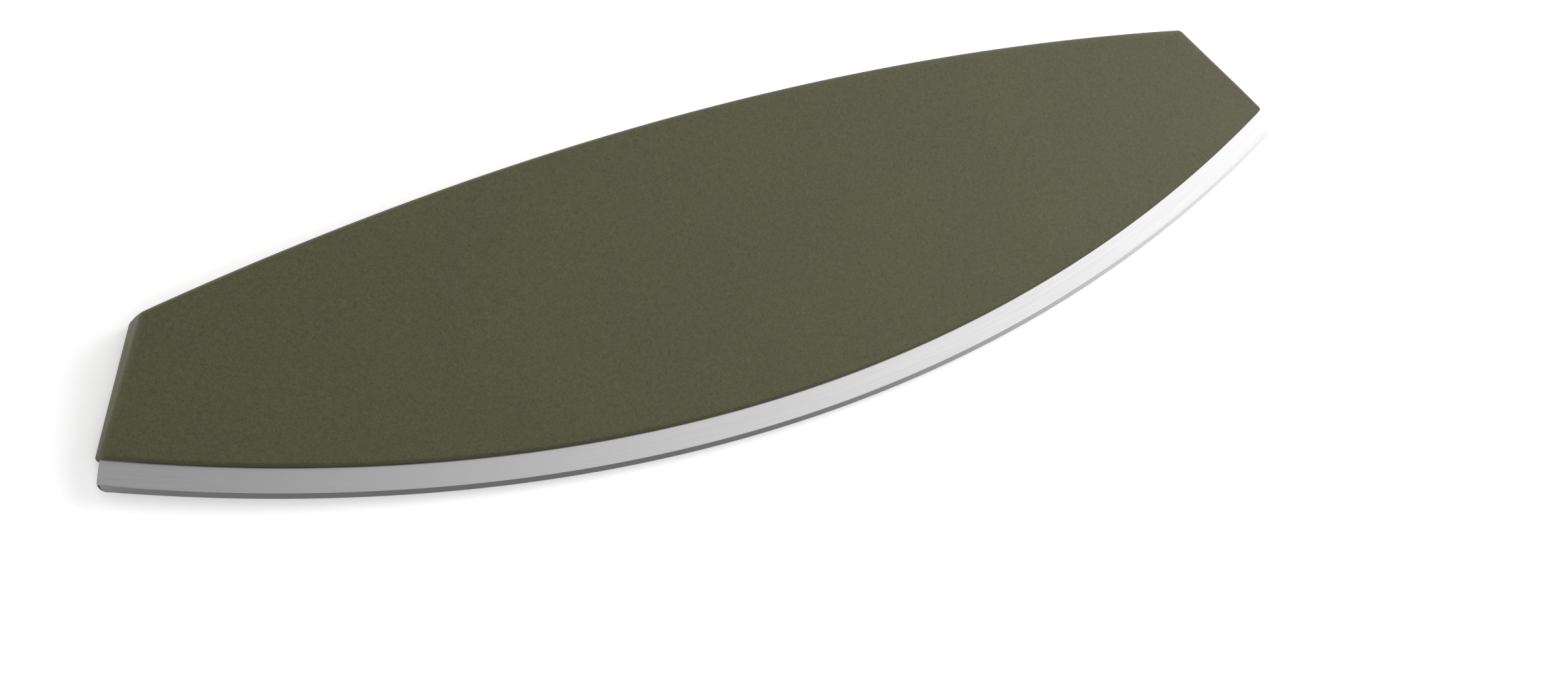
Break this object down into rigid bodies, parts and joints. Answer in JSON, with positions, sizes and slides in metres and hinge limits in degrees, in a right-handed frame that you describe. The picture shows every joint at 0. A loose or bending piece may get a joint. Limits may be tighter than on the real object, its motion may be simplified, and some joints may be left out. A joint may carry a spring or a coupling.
{
  "type": "rocking pizza knife",
  "caption": "Long rocking blade for cutting pizza, ground along a gentle arc and held in a wedge-shaped composite handle that both hands press from above.",
  "frame": {"origin": "on the rear face's plane, under the middle of the knife as it lies flat", "axes": "+X along the length, +Y from the cutting edge toward the spine, +Z out of the front face"},
  "size_m": [0.369, 0.0828, 0.0116],
  "materials": {
    "handle_composite": "matte moulded, finely speckled with fibres",
    "blade_steel": "fine grain along the edge",
    "pin_steel": "plain drawn",
    "seal": "matte"
  },
  "bodies": {
    "root": {"front_shell": "handle_composite", "rear_shell": "handle_composite", "blade": "blade_steel", "slot_seal": "seal", "tang_pin_1": "pin_steel", "tang_pin_2": "pin_steel", "tang_pin_3": "pin_steel", "tang_pin_4": "pin_steel", "tang_pin_5": "pin_steel"}
  },
  "joints": []
}
